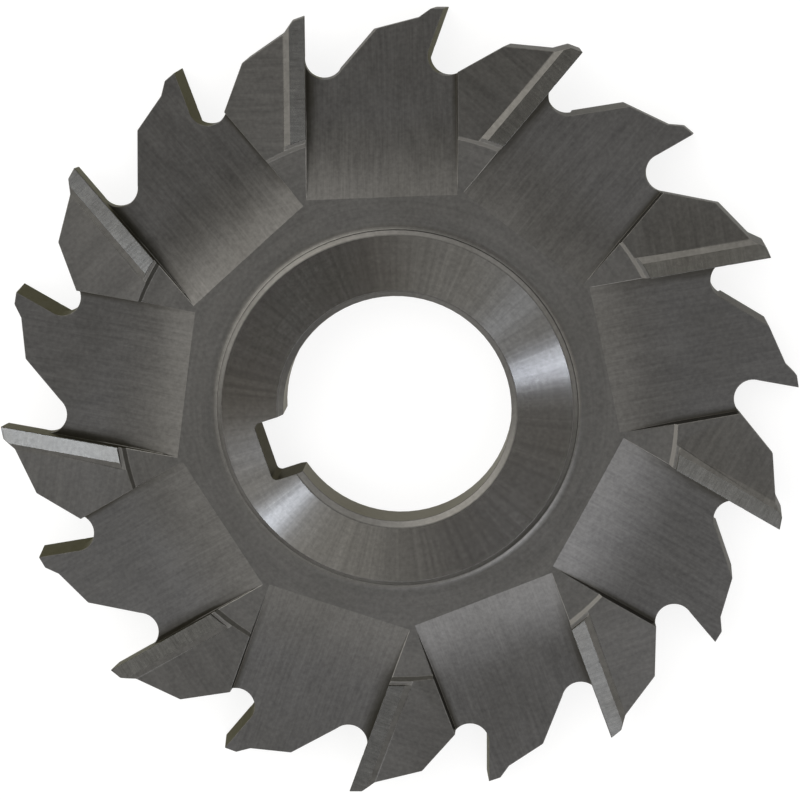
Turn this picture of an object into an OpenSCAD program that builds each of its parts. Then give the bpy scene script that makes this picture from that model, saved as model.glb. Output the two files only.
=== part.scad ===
// Staggered-tooth side and face milling cutter for a keyed arbor.
// One steel disc: a ground hub with a bore and keyway, a thinner web, and a ring of teeth.
// Every second tooth cuts on the upper side, and the teeth between them cut on the lower side.
// The axis is Z, the lower side edges lie at Z = 0 and the keyway points along -X.

/* [Disc] */
// Diameter over the tooth tips
cutter_d = 88.9; // [84:0.1:100]
// Width over the side cutting edges
cutter_w = 6.35; // [5.5:0.05:10]
// Depth of the web below the side cutting edges
web_drop = 0.8; // [0.65:0.05:1.2]

/* [Hub and bore] */
// Diameter of the bore that fits the arbor
bore_d = 25.4; // [20:0.1:30]
// Bevel at both ends of the bore
bore_bevel = 0.65; // [0.2:0.05:1]
// Diameter of the hub
hub_d = 40.2; // [38:0.1:41]
// Depth of the ground hub faces below the side cutting edges
hub_drop = 0.05; // [0.01:0.01:0.2]
// Bevel round the hub faces
hub_bevel = 0.5; // [0.1:0.05:0.7]
// Width of the keyway
keyway_w = 6.7; // [4:0.1:8]
// Depth of the keyway, measured out from the bore
keyway_depth = 3; // [1.5:0.1:4]
// Radius of the keyway's two inner corners
keyway_r = 0.6; // [0.2:0.1:1]

/* [Teeth] */
// Number of teeth, half of them on each side
teeth = 18; // [16:2:22]
// Turn of the first upper tooth from the line square to the keyway
tooth_turn = -5.6; // [-20:0.1:20]
// Radial rake of the tooth faces
rake = 12.6; // [5:0.1:15]
// Lean of the tooth faces across the width, to the left and right in turn
lean = 5; // [2:0.5:12]
// Depth of the gullet along the tooth face, down to where its two sides would meet
gullet_depth = 10.4; // [9:0.1:12]
// Angle between the tooth face and the next tooth's back
gullet_angle = 41; // [36:0.5:46]
// Radius at the root of the gullet
gullet_r = 2.1; // [1:0.1:2.5]

/* [Tooth tops] */
// Width of the land behind the tip
land_w = 1.4; // [0.8:0.1:2]
// Clearance angle of the land
land_angle = 7; // [3:0.5:10]
// Width of the step behind the land
step_w = 1.25; // [0.6:0.1:1.6]
// Slope of the step behind the land
step_angle = 42.5; // [30:0.5:55]
// Slope of the tooth's top behind the step
heel_angle = 21.75; // [15:0.25:28]

/* [Side edges] */
// Width of the land along the side cutting edge
side_land_w = 1.75; // [1:0.05:2.5]
// Clearance angle of the side land
side_land_angle = 3; // [1:0.5:6]
// Width of the step beside the side land
side_step_w = 0.75; // [0.4:0.05:1.2]
// Depth of the flank at the foot of that step
flank_drop = 0.42; // [0.3:0.01:0.6]
// Fall of the flank behind the step
flank_angle = 1.5; // [0.5:0.1:3]
// Radial length of the side lands
side_land_len = 12.85; // [11:0.05:14]
// Width of the turned ledge inside the side lands
ledge_w = 0.42; // [0.2:0.01:0.6]
// Depth of that ledge below the side cutting edges
ledge_drop = 0.4; // [0.3:0.01:0.48]

/* [Side gashes] */
// Depth of the gash beside the tooth face
gash_depth = 2; // [1.5:0.05:2.4]
// Rise of the gash floor away from the tooth face
gash_rise = 0.6; // [0:0.1:1.5]
// Width of the web left between the end of the gash and the hub
gash_gap = 3.15; // [2:0.05:4.5]
// Radius of the milling cutter that leaves the run-out
gash_r = 40; // [25:1:60]
// Room between the opposite tooth's tip and the gash's far wall
gash_room = 1.2; // [0.5:0.05:2]

/* [Hidden] */
$fn = 96;

tip_r = cutter_d / 2;
bore_r = bore_d / 2;
hub_r = hub_d / 2;
pitch = 360 / teeth;

// Turning stock outside the finished size, and how far cuts reach past it
stock = 0.6;
past = 4;

// How far the relief cuts reach past a cutting edge, and a gash past its run-out
edge_past = 1;
run_out_past = 0.5;

// The root arc runs this far into the two sides of its gullet, so that they meet in a clean line
root_overlap = 0.02;

// Ledge and recess between the web and the side lands
ledge_out_r = tip_r - side_land_len;
ledge_in_r = ledge_out_r - ledge_w;
recess_r = ledge_in_r - (web_drop - ledge_drop);

// The gash runs from the tip to near the hub, and is wide enough to pass the opposite tooth's tip
gash_len = tip_r * cos(rake) - hub_r - gash_gap;
tip_offset = tip_r * (sin(pitch) * cos(rake) + (1 - cos(pitch)) * sin(rake));
gash_w = tip_offset + gash_room;
gash_rise_run = sqrt(pow(gash_r, 2) - pow(gash_r - (gash_depth - web_drop), 2));

// Reach of the relief cuts behind a tooth's face
flank_reach = tip_r * sin(pitch);
heel_reach = 0.85 * flank_reach;

// Half section of the turned disc, from its mid plane up to the stock on its upper side
function half_section() =
    let (mid = cutter_w / 2, hub_z = mid - hub_drop, web_z = mid - web_drop, ledge_z = mid - ledge_drop)
    [
        [bore_r, 0],
        [bore_r, hub_z - bore_bevel],
        [bore_r + bore_bevel, hub_z],
        [hub_r - hub_bevel, hub_z],
        [hub_r, hub_z - hub_bevel],
        [hub_r, web_z],
        [recess_r, web_z],
        [ledge_in_r, ledge_z],
        [ledge_out_r, ledge_z],
        [ledge_out_r, mid + stock],
        [tip_r + stock, mid + stock],
        [tip_r + stock, 0]
    ];

// Turned disc, with the stock that the tooth cuts take off
module blank() {
    upper = half_section();
    last = len(upper) - 1;
    lower = [for (i = [last - 1 : -1 : 1]) [upper[i][0], -upper[i][1]]];
    translate([0, 0, cutter_w / 2])
        rotate_extrude()
            polygon(concat(upper, lower));
}

// Gullet seen along its length: the tooth face at x = 0, the next tooth's back, and the root arc
module gullet_outline() {
    half = gullet_angle / 2;
    tangent = gullet_r / tan(half);
    centre = [gullet_r, tangent - gullet_depth];
    back_top = [(gullet_depth + past) * tan(gullet_angle), past];
    back_foot = [tangent * sin(gullet_angle), tangent * cos(gullet_angle) - gullet_depth];
    polygon([[0, centre[1]], [0, past], back_top, back_foot]);
    translate(centre)
        circle(gullet_r + root_overlap);
}

// Everything above a tooth's top: land, step and heel
module top_outline() {
    land_end = [-land_w, -land_w * tan(land_angle)];
    step_end = land_end - [step_w, step_w * tan(step_angle)];
    heel_run = heel_reach - land_w - step_w;
    heel_end = step_end - [heel_run, heel_run * tan(heel_angle)];
    front = [edge_past, edge_past * tan(land_angle)];
    polygon([front, land_end, step_end, heel_end, [heel_end[0], past], [front[0], past]]);
}

// Everything above a tooth's side: land, step and flank
module side_outline() {
    land_end = [-side_land_w, -side_land_w * tan(side_land_angle)];
    step_end = [-side_land_w - side_step_w, -flank_drop];
    flank_run = flank_reach - side_land_w - side_step_w;
    flank_end = step_end - [flank_run, flank_run * tan(flank_angle)];
    front = [edge_past, edge_past * tan(side_land_angle)];
    polygon([front, land_end, step_end, flank_end, [flank_end[0], past], [front[0], past]]);
}

// Gash seen across its length: a flat floor with a round run-out towards the hub
module gash_outline() {
    run_out = -gash_len + gash_rise_run;
    translate([run_out, -gash_depth])
        square([past - run_out, gash_depth + past]);
    translate([run_out, gash_r - gash_depth])
        circle(gash_r);
}

// Frame of one tooth: its tip at the origin, the axis towards -Y and its face leaning across the width.
// Upper teeth are even, and the lower ones between them are the same shape turned over.
module at_each_tooth() {
    for (i = [0 : teeth - 1])
        rotate([0, 0, tooth_turn - i * pitch])
            translate([0, 0, cutter_w / 2])
                mirror([0, 0, i % 2])
                    translate([0, tip_r, cutter_w / 2])
                        children();
}

// Cut in front of a tooth, through the whole width
module gullet() {
    depth = (cutter_w + 2 * past) / cos(lean);
    rotate([0, lean, -rake])
        translate([0, 0, past - depth])
            linear_extrude(depth)
                gullet_outline();
}

// Cut in front of a side edge, part way through the width
module gash() {
    length = gash_len + run_out_past + past;
    height = gash_depth + 2 * past;
    rotate([0, lean, -rake])
        intersection() {
            translate([0, past - length, past - height])
                cube([gash_w * cos(lean), length, height]);
            rotate([0, -lean - gash_rise, 0])
                rotate([90, 0, 90])
                    translate([0, 0, -past])
                        linear_extrude(gash_w + 2 * past)
                            gash_outline();
        }
}

// Clearance behind the tip
module top_relief() {
    depth = (cutter_w + 2 * past) / cos(lean);
    rotate([0, lean, 0])
        translate([0, 0, past - depth])
            linear_extrude(depth)
                top_outline();
}

// Clearance behind the side edge
module side_relief() {
    rotate([90, 0, -rake])
        translate([0, 0, -past])
            linear_extrude(side_land_len + 2 * past)
                side_outline();
}

// Keyway through the hub, open to the bore
module keyway() {
    floor_x = bore_r + keyway_depth;
    half = keyway_w / 2;
    translate([0, 0, -past])
        linear_extrude(cutter_w + 2 * past) {
            translate([-floor_x + keyway_r, -half])
                square([floor_x - keyway_r, keyway_w]);
            translate([-floor_x, keyway_r - half])
                square([floor_x, keyway_w - 2 * keyway_r]);
            for (side = [-1, 1])
                translate([-floor_x + keyway_r, side * (half - keyway_r)])
                    circle(keyway_r);
        }
}

// The disc is turned, keyed, milled and ground in turn, so each cut works on what the last one left
module keyed_disc() {
    difference() {
        blank();
        keyway();
    }
}

module gulleted_disc() {
    difference() {
        keyed_disc();
        at_each_tooth() gullet();
    }
}

module gashed_disc() {
    difference() {
        gulleted_disc();
        at_each_tooth() gash();
    }
}

module side_ground_disc() {
    difference() {
        gashed_disc();
        at_each_tooth() side_relief();
    }
}

module cutter() {
    color("dimgray")
        difference() {
            side_ground_disc();
            at_each_tooth() top_relief();
        }
}

cutter();
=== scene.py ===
"""Looks of a staggered-tooth side and face milling cutter that lies flat on a white table.

The solid comes from the frame. Its copy gets softly broken edges, a finish for each milled, turned
or ground surface, and marks that run the way each surface was cut.
"""
from math import cos, pi, radians, sin

import bmesh
import bpy
import numpy as np
from mathutils import Matrix, Vector


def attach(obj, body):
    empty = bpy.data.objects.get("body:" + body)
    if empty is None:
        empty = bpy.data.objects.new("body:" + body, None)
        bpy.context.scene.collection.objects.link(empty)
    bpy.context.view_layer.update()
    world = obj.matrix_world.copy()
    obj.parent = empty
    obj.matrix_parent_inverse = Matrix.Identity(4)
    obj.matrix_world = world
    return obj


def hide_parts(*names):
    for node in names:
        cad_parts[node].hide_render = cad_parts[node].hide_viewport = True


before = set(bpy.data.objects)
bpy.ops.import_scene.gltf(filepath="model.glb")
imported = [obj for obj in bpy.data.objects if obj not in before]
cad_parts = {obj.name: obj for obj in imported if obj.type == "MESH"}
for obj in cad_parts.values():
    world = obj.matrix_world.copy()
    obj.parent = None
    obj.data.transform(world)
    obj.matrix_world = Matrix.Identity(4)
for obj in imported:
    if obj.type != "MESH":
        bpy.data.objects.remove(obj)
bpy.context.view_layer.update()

MM = 0.001

# Sizes of the cutter that tell one surface from another, in millimetres and degrees
TEETH = 18
TOOTH_TURN = -5.6
RAKE = 12.6
BORE_R = 12.7
KEYWAY_REACH = 17.0
HUB_EDGE_R = 19.7
HUB_R = 20.1
TEETH_START = 32.0
WEB_DROP = 0.8
LEDGE_DROP = 0.4
SIDE_LAND_ANGLE = 3.0
SIDE_STEP_TILT = 23.6
FLANK_ANGLE = 1.5
GASH_RISE = 0.6

# Where a tooth's own side surfaces lie, in millimetres from its tip
ALONG_FACE = (-22.0, 2.0)
BEHIND_FACE = (-15.5, 0.1)
BEFORE_FACE = (-0.3, 17.5)
SIDE_LAND_END = -2.2

# Room where a face is told by its depth or radius, in millimetres, or by its tilt, in degrees
WEB_ROOM = 0.05
LEDGE_ROOM = 0.02
HUB_ROOM = 0.1
BORE_ROOM = 0.05
LAND_ROOM = 0.5
STEP_ROOM = 3.0
FLANK_ROOM = 0.4
GASH_ROOM = 0.5

# Shares of a face's unit normal that lie along the axis
FLAT_SHARE = 0.9999
HUB_SHARE = 0.999
WORN_SHARE = 0.9
SIDE_SHARE = 0.85
BEVEL_SHARES = (0.6, 0.8)
BACK_SHARE = 0.3
WALL_SHARE = 0.1

# Share of that normal along the radius, and the share for worn edges, of its part in plan only
BEVEL_LEAN = 0.6
RADIAL_SHARE = 0.9

# Shares of that normal round the axis and along a tooth's face
BACK_TURN = -0.3
FLANK_FALL = 0.003

# How the solid's copy is cleaned and its edges are broken, in millimetres and degrees
MERGE = 0.003
FLAT_ANGLE = 0.3
SHARP_ANGLE = 24.0
MEETING_ANGLE = 21.5
EDGE_BREAK = 0.08
EDGE_SEGMENTS = 2
SMOOTH_ANGLE = 35.0

# Least length of a mark direction that is divided by
TINY = 1e-6

# The finishes of the steel, with the settings of grind
FINISHES = {
    "hub_face": dict(
        steel=(0.221, 0.220, 0.218, 1), stain=(0.202, 0.199, 0.192, 1), roughness=0.13,
        marks=(0.35, 0.10, 0.5), contrast=0.4, spread=0.02, anisotropy=1.0, concentric=True, streaks=0.24),
    "turned_web": dict(
        steel=(0.117, 0.114, 0.109, 1), stain=(0.107, 0.104, 0.098, 1), roughness=0.42,
        marks=(0.5, 0.3, 0.5), contrast=0.6, concentric=True, foot=0.14),
    "turned_bevel": dict(
        steel=(0.180, 0.176, 0.169, 1), stain=(0.163, 0.158, 0.149, 1), roughness=0.40,
        marks=(0.5, 0.2, 0.5), concentric=True, painted_edge_light=0.6),
    "turned_ledge": dict(
        steel=(0.160, 0.156, 0.148, 1), stain=(0.146, 0.142, 0.133, 1), roughness=0.42,
        marks=(0.5, 0.2, 0.5), concentric=True),
    "ledge_cone": dict(
        steel=(0.085, 0.083, 0.076, 1), stain=(0.078, 0.075, 0.068, 1), roughness=0.80,
        marks=(0.5, 0.2, 0.5), concentric=True, paler=(0.255, 0.248, 0.236, 1)),
    "side_land": dict(
        steel=(0.216, 0.214, 0.203, 1), stain=(0.200, 0.195, 0.180, 1), roughness=0.21,
        marks=(3.0, 0.20, 0.4), contrast=1.0, spread=0.04, depth=0.006, anisotropy=0.8, painted_edge_light=0.5),
    "ground_flank": dict(
        steel=(0.110, 0.107, 0.102, 1), stain=(0.100, 0.097, 0.091, 1), roughness=0.37,
        marks=(7.0, 0.35, 0.5), contrast=0.8, anisotropy=0.7),
    "milled_gash": dict(
        steel=(0.120, 0.117, 0.113, 1), stain=(0.107, 0.104, 0.099, 1), roughness=0.32,
        # Painted shade along the walls of each gash, and a painted sheen on its run-out
        marks=(5.0, 0.30, 0.35), contrast=0.8, spread=0.06, corner_shade=0.75, run_out_sheen=1.13),
    "tooth_face": dict(
        steel=(0.085, 0.083, 0.070, 1), stain=(0.074, 0.071, 0.056, 1), roughness=0.42,
        marks=(6.0, 0.2, 0.4), contrast=0.6, rim=(0.45, 0.44, 0.37, 1)),
    "tooth_back": dict(
        steel=(0.100, 0.098, 0.094, 1), stain=(0.088, 0.086, 0.081, 1), roughness=0.42,
        marks=(6.0, 0.2, 0.4), contrast=0.6, rim=(0.55, 0.54, 0.51, 1)),
    "bore_wall": dict(
        steel=(0.110, 0.107, 0.098, 1), stain=(0.092, 0.088, 0.076, 1), roughness=0.36,
        marks=(0.5, 0.2, 0.4), contrast=0.4, concentric=True, rim=(0.6, 0.58, 0.51, 1)),
    "keyway_wall": dict(
        steel=(0.068, 0.065, 0.057, 1), stain=(0.056, 0.053, 0.044, 1), roughness=0.42,
        marks=(3.0, 0.2, 0.4), contrast=0.5, rim=(0.38, 0.37, 0.33, 1)),
    # Wear and a painted highlight: lighter steel along the edges of the gashes at the web
    "worn_edge_highlight": dict(
        steel=(0.25, 0.244, 0.232, 1), stain=(0.22, 0.214, 0.203, 1), roughness=0.50,
        marks=(3.0, 0.2, 0.4), painted_edge_light=1.0),
}
SLOT_OF = {name: slot for slot, name in enumerate(FINISHES)}


# The solid's copy

def clean_copy(node):
    """Mesh of a node with its triangles joined and each flat area in one face."""
    work = bmesh.new()
    work.from_mesh(node.data)
    bmesh.ops.remove_doubles(work, verts=work.verts, dist=MERGE * MM)
    bmesh.ops.dissolve_limit(work, angle_limit=radians(FLAT_ANGLE), verts=work.verts, edges=work.edges)
    mesh = bpy.data.meshes.new("cutter_body")
    work.to_mesh(mesh)
    work.free()
    return mesh


def is_sharp(edge):
    """Whether an edge is broken: it turns far, or two finishes meet there at a smaller angle."""
    turn = edge.calc_face_angle(0.0)
    first, second = edge.link_faces
    meets = first.material_index != second.material_index
    return turn > radians(SHARP_ANGLE) or (meets and turn > radians(MEETING_ANGLE))


def break_edges(mesh):
    """Rounds every sharp edge. The new faces carry 1 in the face attribute "edge", and all others 0."""
    work = bmesh.new()
    work.from_mesh(mesh)
    edge_layer = work.faces.layers.float.new("edge")
    broken = bmesh.ops.bevel(
        work, geom=[edge for edge in work.edges if is_sharp(edge)], offset=EDGE_BREAK * MM,
        offset_type="OFFSET", segments=EDGE_SEGMENTS, profile=0.5, affect="EDGES",
        clamp_overlap=False, loop_slide=True, material=-1)
    for face in broken["faces"]:
        face[edge_layer] = 1.0
    work.to_mesh(mesh)
    work.free()


def read(items, field, width):
    """One field of every item of a mesh collection, as an array with that many columns."""
    values = np.empty(len(items) * width, dtype=np.float32)
    items.foreach_get(field, values)
    return values.reshape(-1, width).astype(float)


def read_whole(items, field):
    """One whole-number field of every item of a mesh collection."""
    values = np.empty(len(items), dtype=np.int32)
    items.foreach_get(field, values)
    return values


class Faces:
    """The faces of a mesh as arrays: corners, normal, area, and mean corner, radius and way outwards."""

    def __init__(self, mesh):
        self.points = read(mesh.vertices, "co", 3) / MM
        self.corner = read_whole(mesh.loops, "vertex_index")
        self.start = read_whole(mesh.polygons, "loop_start")
        self.count = read_whole(mesh.polygons, "loop_total")
        self.normal = read(mesh.polygons, "normal", 3)
        self.area = read(mesh.polygons, "area", 1)[:, 0]
        self.face_of_corner = np.repeat(np.arange(len(self.start)), self.count)
        self.middle = self.mean(self.points[self.corner])
        radius = np.hypot(*self.points[self.corner][:, :2].T)
        self.radius = self.mean(radius[:, None])[:, 0]
        self.outward = self.middle[:, :2] / np.linalg.norm(self.middle[:, :2], axis=1)[:, None]

    def mean(self, corner_values):
        """Mean over each face of values that are given at its corners."""
        return np.add.reduceat(corner_values, self.start, axis=0) / self.count[:, None]


def smooth_corners(faces, finish, broken):
    """Corner normals: the mean, by area, of the normals round a corner that turn little from its own.

    Faces of one finish are smoothed together. A broken edge also takes the normals of the faces beside
    it, and gives them none of its own. Pairs of corners that share a point are listed by sorting the
    corners by point and matching each with the ones that follow it.
    """
    order = np.argsort(faces.corner, kind="stable")
    point = faces.corner[order]
    face = faces.face_of_corner[order]
    weight = faces.area[face]
    own = faces.normal[face]
    kind = finish[face]
    rounded = broken[face]
    total = own * weight[:, None]
    most = np.bincount(faces.corner).max()
    for step in range(1, most):
        same = point[step:] == point[:-step]
        close = (own[step:] * own[:-step]).sum(1) > cos(radians(SMOOTH_ANGLE))
        alike = (kind[step:] == kind[:-step]) & (rounded[step:] == rounded[:-step])
        takes_next = same & close & (alike | rounded[:-step])
        takes_last = same & close & (alike | rounded[step:])
        total[:-step] += np.where(takes_next[:, None], own[step:] * weight[step:, None], 0)
        total[step:] += np.where(takes_last[:, None], own[:-step] * weight[:-step, None], 0)
    total /= np.linalg.norm(total, axis=1)[:, None]
    normals = np.empty_like(total)
    normals[order] = total
    return normals


# Which finish each face has, and which way its marks run

def near(values, target, room):
    """Whether each value lies within some room of a target."""
    return np.abs(values - target) < room


def within(values, limits):
    """Whether each value lies between two limits."""
    low, high = limits
    return (values > low) & (values < high)


def tooth_frames(tip_radius):
    """Tip, direction across the face and direction along the face of every tooth, in plan."""
    turn = np.radians(TOOTH_TURN - np.arange(TEETH) * 360 / TEETH)
    tip = tip_radius * np.stack([-np.sin(turn), np.cos(turn)], axis=1)
    face_turn = turn - radians(RAKE)
    across = np.stack([np.cos(face_turn), np.sin(face_turn)], axis=1)
    along = np.stack([-np.sin(face_turn), np.cos(face_turn)], axis=1)
    return tip, across, along


def sort_faces(faces, width, tip_radius):
    """Finish, tooth, mark direction and mark origin of every face.

    A face that looks up or down is told by its radius, its depth below the side edges and its tilt
    in the frame of the tooth that it lies beside. A steep face is told by its radius and by the way
    it looks round the axis. The marks beside a tooth are measured from its tip.
    """
    total = len(faces.area)
    upright = np.abs(faces.normal[:, 2])
    upper = faces.normal[:, 2] > 0
    depth = np.where(upper, width - faces.middle[:, 2], faces.middle[:, 2])
    wall = upright < WALL_SHARE
    lean = np.abs((faces.normal[:, :2] * faces.outward).sum(1))
    round_the_axis = np.stack([-faces.outward[:, 1], faces.outward[:, 0], np.zeros(total)], axis=1)

    web = (upright > FLAT_SHARE) & (depth < WEB_DROP + WEB_ROOM) & (faces.radius > HUB_EDGE_R)
    web |= wall & near(faces.radius, HUB_R, HUB_ROOM)
    ledge = web & near(depth, LEDGE_DROP, LEDGE_ROOM) & (faces.radius < TEETH_START)
    bevel = within(upright, BEVEL_SHARES) & (lean > BEVEL_LEAN) & (faces.radius < TEETH_START)
    cone = bevel & (faces.radius > HUB_R)
    bore = wall & near(faces.radius, BORE_R, BORE_ROOM)
    hub = (faces.radius < HUB_EDGE_R) & (upright > HUB_SHARE)
    keyway = wall & (faces.radius < KEYWAY_REACH) & ~bore
    round_cut = web | bevel | bore | hub
    back = (upright < BACK_SHARE) & (faces.radius > HUB_R) & ~round_cut
    back &= (faces.normal * round_the_axis).sum(1) > BACK_TURN
    free = ~round_cut & (faces.radius > KEYWAY_REACH)

    finish = np.full(total, SLOT_OF["tooth_face"])
    turned = ((web, "turned_web"), (ledge, "turned_ledge"), (bevel, "turned_bevel"), (cone, "ledge_cone"),
              (bore, "bore_wall"), (hub, "hub_face"), (keyway, "keyway_wall"), (back, "tooth_back"))
    for picked, name in turned:
        finish[picked] = SLOT_OF[name]
    tooth = np.zeros(total, dtype=int)
    marks = np.tile((0.0, 0.0, 1.0), (total, 1))
    marks[round_cut] = round_the_axis[round_cut]
    origin = np.zeros((total, 3))

    tips, across, along = tooth_frames(tip_radius)
    for number in range(TEETH):
        offset = faces.middle[:, :2] - tips[number]
        x = offset @ across[number]
        y = offset @ along[number]
        tilt = np.degrees(np.arcsin(np.clip(-faces.normal[:, :2] @ across[number], -1, 1)))
        fall = np.abs(faces.normal[:, :2] @ along[number])
        own_side = free & (upper == (number % 2 == 0)) & (upright > SIDE_SHARE) & within(y, ALONG_FACE)
        behind = own_side & within(x, BEHIND_FACE)
        land = behind & near(tilt, SIDE_LAND_ANGLE, LAND_ROOM) & (x > SIDE_LAND_END)
        step = behind & near(tilt, SIDE_STEP_TILT, STEP_ROOM)
        flank = behind & near(tilt, FLANK_ANGLE, FLANK_ROOM) & (fall < FLANK_FALL)
        ground = land | step | flank
        gash = own_side & within(x, BEFORE_FACE) & near(tilt, GASH_RISE, GASH_ROOM) & ~ground
        for picked, name in ((land, "side_land"), (step | flank, "ground_flank"), (gash, "milled_gash")):
            finish[picked] = SLOT_OF[name]
        tooth[ground | gash] = number
        marks[ground] = (*across[number], 0)
        marks[gash] = (*along[number], 0)
        origin[ground | gash] = (*tips[number], 0)
    return finish, tooth, marks, origin


def web_edges(faces, broken, width):
    """Broken edges at the web's depth: those along the gashes, and those round the ledge's foot.

    An edge is round the foot where its normal, seen in plan, points along the radius.
    """
    depth = width / 2 - np.abs(faces.middle[:, 2] - width / 2)
    at_web = near(depth - EDGE_BREAK / 2, WEB_DROP, EDGE_BREAK)
    steep = np.abs(faces.normal[:, 2]) < WORN_SHARE
    found = broken & at_web & steep & (faces.radius > HUB_R + WEB_DROP)
    level = np.linalg.norm(faces.normal[:, :2], axis=1)
    radial = np.abs((faces.normal[:, :2] * faces.outward).sum(1)) > RADIAL_SHARE * level
    return found & ~radial, found & radial


def lay_marks(faces, marks, origin):
    """Corner coordinates in millimetres along and across the marks of each face, from the marks' origin.

    The first is the corner's distance along the mark direction, flattened into the face, and the
    second its distance along the direction square to both the marks and the face's normal.
    """
    along = marks - faces.normal * (marks * faces.normal).sum(1)[:, None]
    along /= np.maximum(np.linalg.norm(along, axis=1), TINY)[:, None]
    across = np.cross(faces.normal, along)
    owner = faces.face_of_corner
    corner = faces.points[faces.corner] - origin[owner]
    return np.stack([(corner * along[owner]).sum(1), (corner * across[owner]).sum(1)], axis=1)


def add_values(mesh, name, kind, field, values):
    """Face attribute with one number or vector for each face."""
    layer = mesh.attributes.new(name, kind, "FACE")
    layer.data.foreach_set(field, values.astype(np.float32).ravel())


def make_cutter(node):
    """The finished cutter: the clean copy with its finishes, broken edges, marks and corner normals."""
    mesh = clean_copy(node)
    faces = Faces(mesh)
    width = faces.points[:, 2].max()
    tip_radius = np.hypot(*faces.points[:, :2].T).max()
    finish, tooth, marks, origin = sort_faces(faces, width, tip_radius)
    for name, settings in FINISHES.items():
        mesh.materials.append(grind(name, **settings))
    mesh.polygons.foreach_set("material_index", finish.astype(np.int32))
    add_values(mesh, "tooth", "FLOAT", "value", tooth)
    add_values(mesh, "mark_way", "FLOAT_VECTOR", "vector", marks)
    add_values(mesh, "mark_origin", "FLOAT_VECTOR", "vector", origin)
    break_edges(mesh)

    faces = Faces(mesh)
    finish = read_whole(mesh.polygons, "material_index")
    broken = read(mesh.attributes["edge"].data, "value", 1)[:, 0] > 0
    along_gash, ledge_foot = web_edges(faces, broken, width)
    # Edges along the gashes get lighter steel: wear and a painted highlight
    finish[along_gash] = SLOT_OF["worn_edge_highlight"]
    finish[ledge_foot] = SLOT_OF["ledge_cone"]
    finish[broken & (finish == SLOT_OF["hub_face"])] = SLOT_OF["turned_bevel"]
    mesh.polygons.foreach_set("material_index", finish)
    marks = read(mesh.attributes["mark_way"].data, "vector", 3)
    origin = read(mesh.attributes["mark_origin"].data, "vector", 3)
    layer = mesh.uv_layers.new(name="marks")
    layer.uv.foreach_set("vector", lay_marks(faces, marks, origin).astype(np.float32).ravel())
    mesh.polygons.foreach_set("use_smooth", np.ones(len(finish), dtype=bool))
    mesh.normals_split_custom_set(smooth_corners(faces, finish, broken).tolist())
    cutter = bpy.data.objects.new("cutter_body", mesh)
    bpy.context.scene.collection.objects.link(cutter)
    return cutter


# Shader node helpers

def new_material(name):
    """Empty node material with an output and a metal shader."""
    material = bpy.data.materials.new(name)
    material.use_nodes = True
    nodes = material.node_tree.nodes
    nodes.clear()
    out = nodes.new("ShaderNodeOutputMaterial")
    metal = nodes.new("ShaderNodeBsdfPrincipled")
    metal.inputs["Metallic"].default_value = 1.0
    material.node_tree.links.new(metal.outputs["BSDF"], out.inputs["Surface"])
    return material, metal


def put(tree, socket, value):
    """Sets an input to a plain value, or links it where the value is another socket."""
    if isinstance(value, bpy.types.NodeSocket):
        tree.links.new(value, socket)
    else:
        socket.default_value = value


def add_node(tree, kind, settings=(), **values):
    """New node with its settings, and its inputs set by name to a value or linked to a socket."""
    node = tree.nodes.new(kind)
    for field, setting in dict(settings).items():
        setattr(node, field, setting)
    for name, value in values.items():
        put(tree, node.inputs[name.replace("_", " ")], value)
    return node


def calculate(tree, operation, *values):
    """Output of a Math node with its inputs set in order."""
    node = add_node(tree, "ShaderNodeMath", {"operation": operation})
    for socket, value in zip(node.inputs, values):
        put(tree, socket, value)
    return node.outputs[0]


def calculate_vector(tree, operation, *values, out="Vector"):
    """Output of a Vector Math node with its inputs set in order."""
    node = add_node(tree, "ShaderNodeVectorMath", {"operation": operation})
    for socket, value in zip(node.inputs, values):
        put(tree, socket, value)
    return node.outputs[out]


def blend_numbers(tree, amount, first, second):
    """Output of a Mix node for numbers, which are its inputs 2 and 3."""
    node = add_node(tree, "ShaderNodeMix", {"data_type": "FLOAT"})
    for place, value in ((0, amount), (2, first), (3, second)):
        put(tree, node.inputs[place], value)
    return node.outputs[0]


def blend_colours(tree, amount, first, second, kind="MIX"):
    """Output of a Mix node for colours, which are its inputs 6 and 7 and its output 2."""
    node = add_node(tree, "ShaderNodeMix", {"data_type": "RGBA", "blend_type": kind})
    for place, value in ((0, amount), (6, first), (7, second)):
        put(tree, node.inputs[place], value)
    return node.outputs[2]


def scale_colour(tree, colour, gain):
    """Output of a colour times a number."""
    grey = add_node(tree, "ShaderNodeCombineColor", Red=gain, Green=gain, Blue=gain)
    return blend_colours(tree, 1.0, colour, grey.outputs[0], "MULTIPLY")


def stretch(tree, value, low, high, to_low=0.0, to_high=1.0, smooth=False):
    """Output of a Map Range node, held within its limits and, where it is smooth, eased at both."""
    easing = "SMOOTHSTEP" if smooth else "LINEAR"
    node = add_node(tree, "ShaderNodeMapRange", {"clamp": True, "interpolation_type": easing}, Value=value)
    for name, limit in (("From Min", low), ("From Max", high), ("To Min", to_low), ("To Max", to_high)):
        put(tree, node.inputs[name], limit)
    return node.outputs["Result"]


def noise(tree, place, scale, detail, roughness):
    """Output of a Noise Texture node."""
    node = add_node(tree, "ShaderNodeTexNoise", Vector=place, Scale=scale, Detail=detail,
                    Roughness=roughness)
    return node.outputs["Fac"]


def new_group(name, inputs, outputs):
    """Empty shader node group with the named number, vector or colour sockets."""
    tree = bpy.data.node_groups.new(name, "ShaderNodeTree")
    for label, kind, value in inputs:
        socket = tree.interface.new_socket(label, in_out="INPUT", socket_type=kind)
        if value is not None:
            socket.default_value = value
    for label, kind in outputs:
        tree.interface.new_socket(label, in_out="OUTPUT", socket_type=kind)
    return tree, tree.nodes.new("NodeGroupInput"), tree.nodes.new("NodeGroupOutput")


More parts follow.
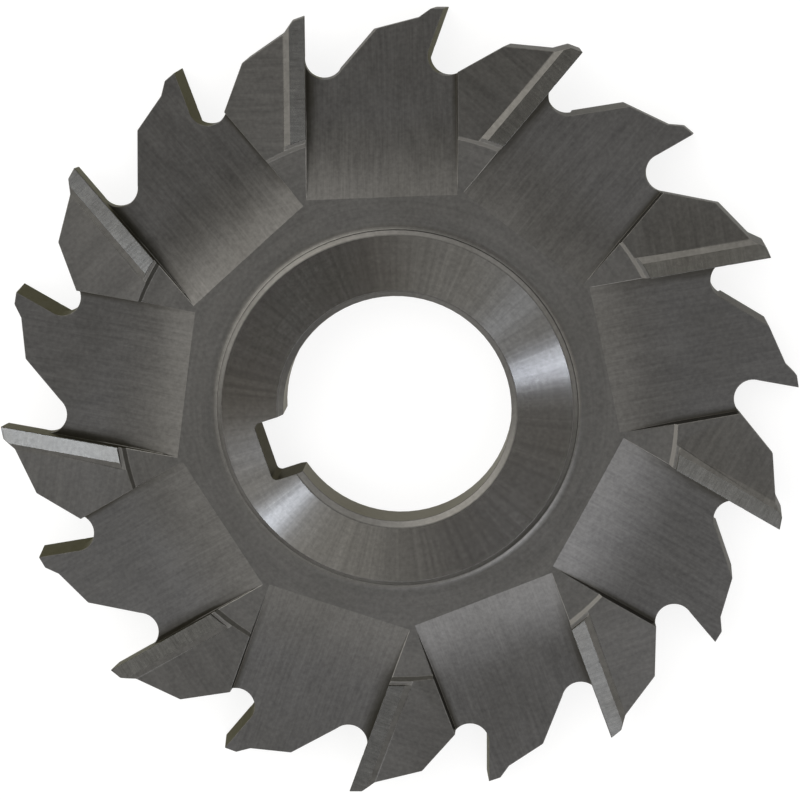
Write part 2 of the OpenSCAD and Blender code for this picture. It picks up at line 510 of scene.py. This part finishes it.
def use_group(tree, group, **values):
    """Places a node group in a tree with its inputs set by name."""
    return add_node(tree, "ShaderNodeGroup", {"node_tree": group}, **values)


NUMBER = "NodeSocketFloat"
VECTOR = "NodeSocketVector"
COLOUR = "NodeSocketColor"


# Effects that several finishes share

# How many times wider the broad marks are than the fine ones
BROAD_MARKS = 6.0

# The middle of the noise, the range in which it mostly lies, and the ranges of its stains and streaks
NOISE_MIDDLE = 0.5
NOISE_RANGE = (0.25, 0.75)
STAIN_RANGE = (0.42, 0.68)
STREAK_RANGE = (0.2, 0.8)

# Sizes of the stains and the grain, in clouds for each metre, and the grain's tones
STAIN_SCALE = 90.0
GRAIN_SCALE = 2200.0
GRAIN_TONES = (0.86, 1.14)


def make_cut_marks():
    """Group of fine parallel marks: long thin streaks along the first coordinate of the vector.

    Two noises are stretched along the marks, one fine and one broad. Their blend is the tone, and the
    fine one is also the height of the marks.
    """
    tree, given, result = new_group(
        "cut_marks",
        [("Place", VECTOR, None), ("Length", NUMBER, 6.0), ("Pitch", NUMBER, 0.15),
         ("Broad", NUMBER, 0.4)],
        [("Tone", NUMBER), ("Height", NUMBER)])
    place = add_node(tree, "ShaderNodeSeparateXYZ", Vector=given.outputs["Place"])
    lengthwise = calculate(tree, "DIVIDE", place.outputs["X"], given.outputs["Length"])
    tones = []
    for factor in (1.0, BROAD_MARKS):
        pitch = calculate(tree, "MULTIPLY", given.outputs["Pitch"], factor)
        crosswise = calculate(tree, "DIVIDE", place.outputs["Y"], pitch)
        spot = add_node(tree, "ShaderNodeCombineXYZ", X=lengthwise, Y=crosswise, Z=place.outputs["Z"])
        tones.append(noise(tree, spot.outputs[0], scale=1.0, detail=3.0, roughness=0.6))
    fine, broad = tones
    put(tree, result.inputs["Tone"], blend_numbers(tree, given.outputs["Broad"], fine, broad))
    put(tree, result.inputs["Height"], fine)
    return tree


def make_steel_tone():
    """Group that gives the steel its colour.

    Soft stains blend two colours. The blend is scaled by a fine grain plus the tone of the marks and,
    on broken edges, by a painted edge light: a painted highlight where it is above 1, and painted shade
    where it is below.
    """
    tree, given, result = new_group(
        "steel_tone",
        [("Steel", COLOUR, (0.1, 0.1, 0.1, 1)), ("Stain", COLOUR, (0.08, 0.07, 0.06, 1)),
         ("Marks", NUMBER, 0.5), ("Contrast", NUMBER, 0.3), ("Edge shine", NUMBER, 1.5)],
        [("Colour", COLOUR)])
    place = add_node(tree, "ShaderNodeTexCoord").outputs["Object"]
    cloud = noise(tree, place, scale=STAIN_SCALE, detail=4.0, roughness=0.55)
    stains = stretch(tree, cloud, *STAIN_RANGE)
    base = blend_colours(tree, stains, given.outputs["Steel"], given.outputs["Stain"])
    centred = calculate(tree, "SUBTRACT", given.outputs["Marks"], NOISE_MIDDLE)
    speckle = noise(tree, place, scale=GRAIN_SCALE, detail=2.0, roughness=0.6)
    grain = stretch(tree, speckle, *NOISE_RANGE, *GRAIN_TONES)
    tone = calculate(tree, "MULTIPLY_ADD", centred, given.outputs["Contrast"], grain)
    edge = add_node(tree, "ShaderNodeAttribute", {"attribute_name": "edge"}).outputs["Fac"]
    # Broken edges are made lighter or darker in colour: painted highlight above 1, painted shade below
    edge_light_gain = stretch(tree, edge, 0.0, 1.0, 1.0, given.outputs["Edge shine"])
    gain = calculate(tree, "MULTIPLY", tone, edge_light_gain)
    put(tree, result.inputs["Colour"], scale_colour(tree, base, gain))
    return tree


CUT_MARKS = make_cut_marks()
STEEL_TONE = make_steel_tone()


# What a finish is made of

# Streaks for each unit of the circle round the axis
STREAK_COUNT = 24.0

# How far the noise moves on from one tooth to the next
TOOTH_SHIFT = 7.3

# Painted shade in the corners of a gash: its colour, and how far it is full, reaches and wanders, in
# millimetres from a wall
CORNER_SHADE = (0.040, 0.036, 0.025, 1)
CORNER_SHADE_FULL = 0.35
CORNER_SHADE_REACH = 2.0
CORNER_SHADE_UNEVEN = 0.8

# Width of a gash in millimetres, and the share of the painted shade's reach that its far wall has
GASH_WIDTH = 16.46
FAR_SHADE_SHARE = 0.45

# Where a gash's run-out ends and starts, in millimetres from the tip
RUN_OUT_END = -20.0
RUN_OUT_START = -9.0

# Where the ledge's cone changes from darker to paler, in millimetres along a line turned from X by degrees
PALE_TURN = 20.0
PALE_FROM = -10.0
PALE_TO = -1.0

# Width of the hollow curve at the foot of the hub, in millimetres, and its share of the roughness
FOOT_WIDTH = 0.75
FOOT_POLISH = 0.45

# Turn of the stretched highlights from their marks, as a share of a full circle
ACROSS_MARKS = 0.25


def axis_place(tree):
    """Place in plan, direction outwards and radius in millimetres of a point of the cutter."""
    place = add_node(tree, "ShaderNodeTexCoord").outputs["Object"]
    parts = add_node(tree, "ShaderNodeSeparateXYZ", Vector=place).outputs
    flat = add_node(tree, "ShaderNodeCombineXYZ", X=parts["X"], Y=parts["Y"]).outputs[0]
    outward = calculate_vector(tree, "NORMALIZE", flat)
    radius = calculate_vector(tree, "LENGTH", flat, out="Value")
    return flat, outward, calculate(tree, "DIVIDE", radius, MM)


def ring_marks(tree, outward, radius):
    """Place of concentric marks: the radius lies across them, and a point of the unit circle along them.

    That point changes slowly along a mark and not at all at its seam.
    """
    turn = add_node(tree, "ShaderNodeSeparateXYZ", Vector=outward).outputs
    return add_node(tree, "ShaderNodeCombineXYZ", X=turn["X"], Y=radius, Z=turn["Y"]).outputs[0]


def straight_marks(tree):
    """Place of straight marks, which the tooth's number sets apart, and the two mark coordinates."""
    flat = add_node(tree, "ShaderNodeUVMap", {"uv_map": "marks"}).outputs["UV"]
    parts = add_node(tree, "ShaderNodeSeparateXYZ", Vector=flat).outputs
    tooth = add_node(tree, "ShaderNodeAttribute", {"attribute_name": "tooth"}).outputs["Fac"]
    shift = calculate(tree, "MULTIPLY", tooth, TOOTH_SHIFT)
    place = add_node(tree, "ShaderNodeCombineXYZ", X=parts["X"], Y=parts["Y"], Z=shift)
    return place.outputs[0], parts["X"], parts["Y"]


def add_streaks(tree, colour, outward, amount):
    """Colour with tones that change round the axis only, up and down by the amount."""
    ray = noise(tree, outward, scale=STREAK_COUNT, detail=3.0, roughness=0.65)
    return scale_colour(tree, colour, stretch(tree, ray, *STREAK_RANGE, 1.0 - amount, 1.0 + amount))


def add_corner_shade(tree, colour, along, across, tone, amount, run_out_sheen):
    """Colour with painted shade in the strips along both walls of a gash.

    The painted shade fades with the distance from the nearer wall, unevenly as the marks do, and thins out
    along the run-out, where the steel is made lighter by a painted sheen, the run-out's gain.
    """
    foot_gap = calculate(tree, "ABSOLUTE", across)
    far_gap = calculate(tree, "SUBTRACT", GASH_WIDTH, foot_gap)
    far_gap = calculate(tree, "DIVIDE", far_gap, FAR_SHADE_SHARE)
    gap = calculate(tree, "MINIMUM", foot_gap, far_gap)
    uneven = calculate(tree, "MULTIPLY_ADD", tone, CORNER_SHADE_UNEVEN, gap)
    strip = stretch(tree, uneven, CORNER_SHADE_FULL, CORNER_SHADE_REACH, amount, 0.0, smooth=True)
    thinned = stretch(tree, along, RUN_OUT_END, RUN_OUT_START)
    # Painted sheen: the steel of the run-out is made lighter in colour
    gain = stretch(tree, along, RUN_OUT_END, RUN_OUT_START, run_out_sheen, 1.0)
    steel = scale_colour(tree, colour, gain)
    # Painted shade: the gash floor is darkened next to its walls
    return blend_colours(tree, calculate(tree, "MULTIPLY", strip, thinned), steel, CORNER_SHADE)


def pale_towards_side(tree, colour, flat, paler):
    """Colour that changes to a paler one towards one side of the disc."""
    way = (cos(radians(PALE_TURN)), sin(radians(PALE_TURN)), 0)
    reach = calculate_vector(tree, "DOT_PRODUCT", flat, way, out="Value")
    return blend_colours(tree, stretch(tree, reach, PALE_FROM * MM, PALE_TO * MM), colour, paler)


def add_foot(tree, radius, rough, height, rise):
    """Roughness and height with a smoother hollow curve, a parabola, that rises towards the hub."""
    foot = (HUB_R, HUB_R + FOOT_WIDTH)
    nearness = stretch(tree, radius, *foot, 1.0, 0.0)
    curve = calculate(tree, "MULTIPLY", nearness, nearness)
    polish = stretch(tree, radius, *foot, FOOT_POLISH, 1.0)
    rough = calculate(tree, "MULTIPLY", rough, polish)
    return rough, calculate(tree, "MULTIPLY_ADD", curve, rise, height)


def grind(name, steel, stain, roughness, marks, contrast=0.3, spread=0.12, depth=0.0002, anisotropy=0.0,
          painted_edge_light=1.15, concentric=False, rim=(1, 1, 1, 1), streaks=0.0, corner_shade=0.0, run_out_sheen=1.0,
          foot=0.0, paler=None):
    """Steel with cutting marks along its own mark coordinates, or round the axis where they are concentric.

    The marks are given by their length, their pitch and the share of broad ones, with their depth in
    millimetres. Streaks, foot and the paler side are for concentric marks, and the painted corner shade
    with the run-out's painted sheen for straight ones. The foot is the height of the hub's hollow curve
    in millimetres.
    """
    material, metal = new_material(name)
    tree = material.node_tree
    if concentric:
        flat, outward, radius = axis_place(tree)
        place = ring_marks(tree, outward, radius)
        marks_way = {"direction_type": "RADIAL", "axis": "Z"}
    else:
        place, along, across = straight_marks(tree)
        marks_way = {"direction_type": "UV_MAP", "uv_map": "marks"}
    length, pitch, broad = marks
    cut = use_group(tree, CUT_MARKS, Place=place, Length=length, Pitch=pitch, Broad=broad).outputs
    tone = use_group(tree, STEEL_TONE, Steel=steel, Stain=stain, Marks=cut["Tone"],
                     Contrast=contrast, Edge_shine=painted_edge_light)
    colour = tone.outputs["Colour"]
    if streaks:
        colour = add_streaks(tree, colour, outward, streaks)
    # Painted shade along the walls of a gash, and a painted sheen on its run-out
    if corner_shade:
        colour = add_corner_shade(tree, colour, along, across, cut["Tone"], corner_shade, run_out_sheen)
    if paler:
        colour = pale_towards_side(tree, colour, flat, paler)
    rough = stretch(tree, cut["Tone"], *NOISE_RANGE, roughness - spread / 2, roughness + spread / 2)
    height = cut["Height"]
    if foot:
        rough, height = add_foot(tree, radius, rough, height, foot / depth)
    relief = add_node(tree, "ShaderNodeBump", Strength=1.0, Distance=depth * MM, Height=height)
    put(tree, metal.inputs["Base Color"], colour)
    put(tree, metal.inputs["Roughness"], rough)
    put(tree, metal.inputs["Normal"], relief.outputs["Normal"])
    metal.inputs["Specular Tint"].default_value = rim
    if anisotropy:
        metal.inputs["Anisotropic"].default_value = anisotropy
        metal.inputs["Anisotropic Rotation"].default_value = ACROSS_MARKS
        put(tree, metal.inputs["Tangent"], add_node(tree, "ShaderNodeTangent", marks_way).outputs[0])
    return material


# Table, light and camera

# Half the table's side in metres, its tone for soft light, and its lit and own tones in the picture
TABLE_HALF = 1.5
TABLE_BOARD = (0.8, 0.8, 0.8, 1)
TABLE_LIT = (0.22, 0.22, 0.22, 1)
TABLE_GLOW = 0.83

# Angle of the X axis in the picture, from its right-hand side, in degrees
PICTURE_TURN = 18.607

# Soft areas of the room: name, picture angle, tilt, half width, and what they add to each colour
ROOM_LEVEL = (1.044, 1.03, 0.993)
ROOM_DARKEST = (0.02, 0.02, 0.02)
ROOM_AREAS = (
    ("overhead_shade", -44, 9.8, 38.4, (-0.755, -0.748, -0.725)),
    ("window", 142.5, 63.3, 54.2, (1.43, 1.38, 1.28)),
    ("right_wall", 0, 30.7, 18, (0.68, 0.66, 0.62)),
    ("low_sky", -61.5, 34.8, 17.0, (2.22, 2.28, 2.49)),
    ("low_shade", -47.6, 84.8, 46.8, (-0.63, -0.62, -0.60)),
    ("left_shade", -157.5, 15, 12.6, (-1.30, -1.30, -1.27)),
    ("lamp_glow", -122.8, 16.5, 8.8, (0.95, 0.915, 0.84)),
    ("lamp_shade", -100, 20, 10, (-0.32, -0.32, -0.31)),
    ("ceiling", -120, 1.7, 9, (0.33, 0.32, 0.30)),
)

# Small lamps far above the table: name, picture angle, tilt, light on the table and colour
LAMP_DISTANCE = 2.5
LAMP_RADIUS = 0.03
LAMPS = (
    ("right_lamp", -69, 9.2, 0.019, (0.92, 0.98, 1.12)),
    ("left_lamp", -121.6, 19.9, 0.030, (0.93, 1.0, 1.14)),
)

# The camera, with its aim and distance in millimetres and its angles in degrees
CAMERA_AIM = (0.729, 1.009, 6.35)
CAMERA_DISTANCE = 333.55
CAMERA_AZIMUTH = 53.335
CAMERA_ELEVATION = 78.934
CAMERA_ROLL = -161.623

# Its lens and sensor in millimetres, and the nearest that it sees in metres
CAMERA_LENS = 135.545
CAMERA_SENSOR = 36
CAMERA_NEAREST = 0.01


def make_table():
    """White table under the cutter.

    To the camera and in reflections most of its brightness is its own, so that its shadow stays soft.
    """
    half = TABLE_HALF
    mesh = bpy.data.meshes.new("table")
    corners = [(-half, -half, 0), (half, -half, 0), (half, half, 0), (-half, half, 0)]
    mesh.from_pydata(corners, [], [(0, 1, 2, 3)])
    table = bpy.data.objects.new("table", mesh)
    bpy.context.scene.collection.objects.link(table)
    material = bpy.data.materials.new("white_table")
    material.use_nodes = True
    tree = material.node_tree
    tree.nodes.clear()
    out = tree.nodes.new("ShaderNodeOutputMaterial")
    board = add_node(tree, "ShaderNodeBsdfDiffuse", Color=TABLE_BOARD)
    lit = add_node(tree, "ShaderNodeBsdfDiffuse", Color=TABLE_LIT)
    glow = add_node(tree, "ShaderNodeEmission", Color=(1, 1, 1, 1), Strength=TABLE_GLOW)
    white = tree.nodes.new("ShaderNodeAddShader")
    put(tree, white.inputs[0], lit.outputs[0])
    put(tree, white.inputs[1], glow.outputs[0])
    path = tree.nodes.new("ShaderNodeLightPath")
    seen = calculate(tree, "MAXIMUM", path.outputs["Is Camera Ray"], path.outputs["Is Glossy Ray"])
    seen = calculate(tree, "MAXIMUM", seen, path.outputs["Is Transmission Ray"])
    mixed = tree.nodes.new("ShaderNodeMixShader")
    put(tree, mixed.inputs[0], seen)
    put(tree, mixed.inputs[1], board.outputs[0])
    put(tree, mixed.inputs[2], white.outputs[0])
    put(tree, out.inputs["Surface"], mixed.outputs[0])
    mesh.materials.append(material)


def toward(picture_angle, tilt):
    """Unit vector that leans from straight up by the tilt, towards an angle of the picture, in degrees."""
    turn = radians(picture_angle - PICTURE_TURN)
    lean = radians(tilt)
    return Vector((sin(lean) * cos(turn), sin(lean) * sin(turn), cos(lean)))


def light_room():
    """World light: an even pale room with a few broad areas that are brighter or darker.

    Each area adds its colour times a smooth fall from its middle to its half width, worked out from
    the cosine between the ray and the area's direction.
    """
    world = bpy.data.worlds.new("room")
    bpy.context.scene.world = world
    world.use_nodes = True
    tree = world.node_tree
    tree.nodes.clear()
    ray = add_node(tree, "ShaderNodeTexCoord").outputs["Generated"]
    colour = ROOM_LEVEL
    for name, angle, tilt, half_width, added in ROOM_AREAS:
        nearness = calculate_vector(tree, "DOT_PRODUCT", ray, toward(angle, tilt), out="Value")
        fall = stretch(tree, nearness, cos(radians(half_width)), 1.0, smooth=True)
        area = add_node(tree, "ShaderNodeVectorMath", {"operation": "SCALE", "label": name},
                        Vector=added, Scale=fall)
        colour = calculate_vector(tree, "ADD", colour, area.outputs["Vector"])
    held = calculate_vector(tree, "MAXIMUM", colour, ROOM_DARKEST)
    background = add_node(tree, "ShaderNodeBackground", Color=held, Strength=1.0)
    out = tree.nodes.new("ShaderNodeOutputWorld")
    put(tree, out.inputs["Surface"], background.outputs[0])


def hang_lamps():
    """Round lamps that face the cutter.

    A lamp's power is its light on the table times pi and its distance squared.
    """
    for name, angle, tilt, level, colour in LAMPS:
        lamp = bpy.data.lights.new(name, "AREA")
        lamp.shape = "DISK"
        lamp.size = 2 * LAMP_RADIUS
        lamp.energy = level * pi * LAMP_DISTANCE ** 2
        lamp.color = colour
        place = bpy.data.objects.new(name, lamp)
        direction = toward(angle, tilt)
        place.location = direction * LAMP_DISTANCE
        place.rotation_euler = direction.to_track_quat("Z", "Y").to_euler()
        bpy.context.scene.collection.objects.link(place)


def set_camera():
    """Camera on the line from its aim along its azimuth and elevation, rolled about that line."""
    azimuth = radians(CAMERA_AZIMUTH)
    elevation = radians(CAMERA_ELEVATION)
    roll = radians(CAMERA_ROLL)
    back = Vector((cos(elevation) * cos(azimuth), cos(elevation) * sin(azimuth), sin(elevation)))
    level = Vector((0, 0, 1)).cross(back).normalized()
    right = cos(roll) * level + sin(roll) * back.cross(level)
    up = back.cross(right)
    camera = bpy.data.cameras.new("camera")
    camera.lens = CAMERA_LENS
    camera.sensor_width = CAMERA_SENSOR
    camera.clip_start = CAMERA_NEAREST
    holder = bpy.data.objects.new("camera", camera)
    turned = Matrix((right, up, back)).transposed().to_4x4()
    place = (Vector(CAMERA_AIM) + CAMERA_DISTANCE * back) * MM
    holder.matrix_world = Matrix.Translation(place) @ turned
    bpy.context.scene.collection.objects.link(holder)
    bpy.context.scene.camera = holder


set_camera()
cutter = make_cutter(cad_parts["cutter"])
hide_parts("cutter")
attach(cutter, "root")
make_table()
light_room()
hang_lamps()
bpy.context.scene.view_settings.view_transform = "Standard"
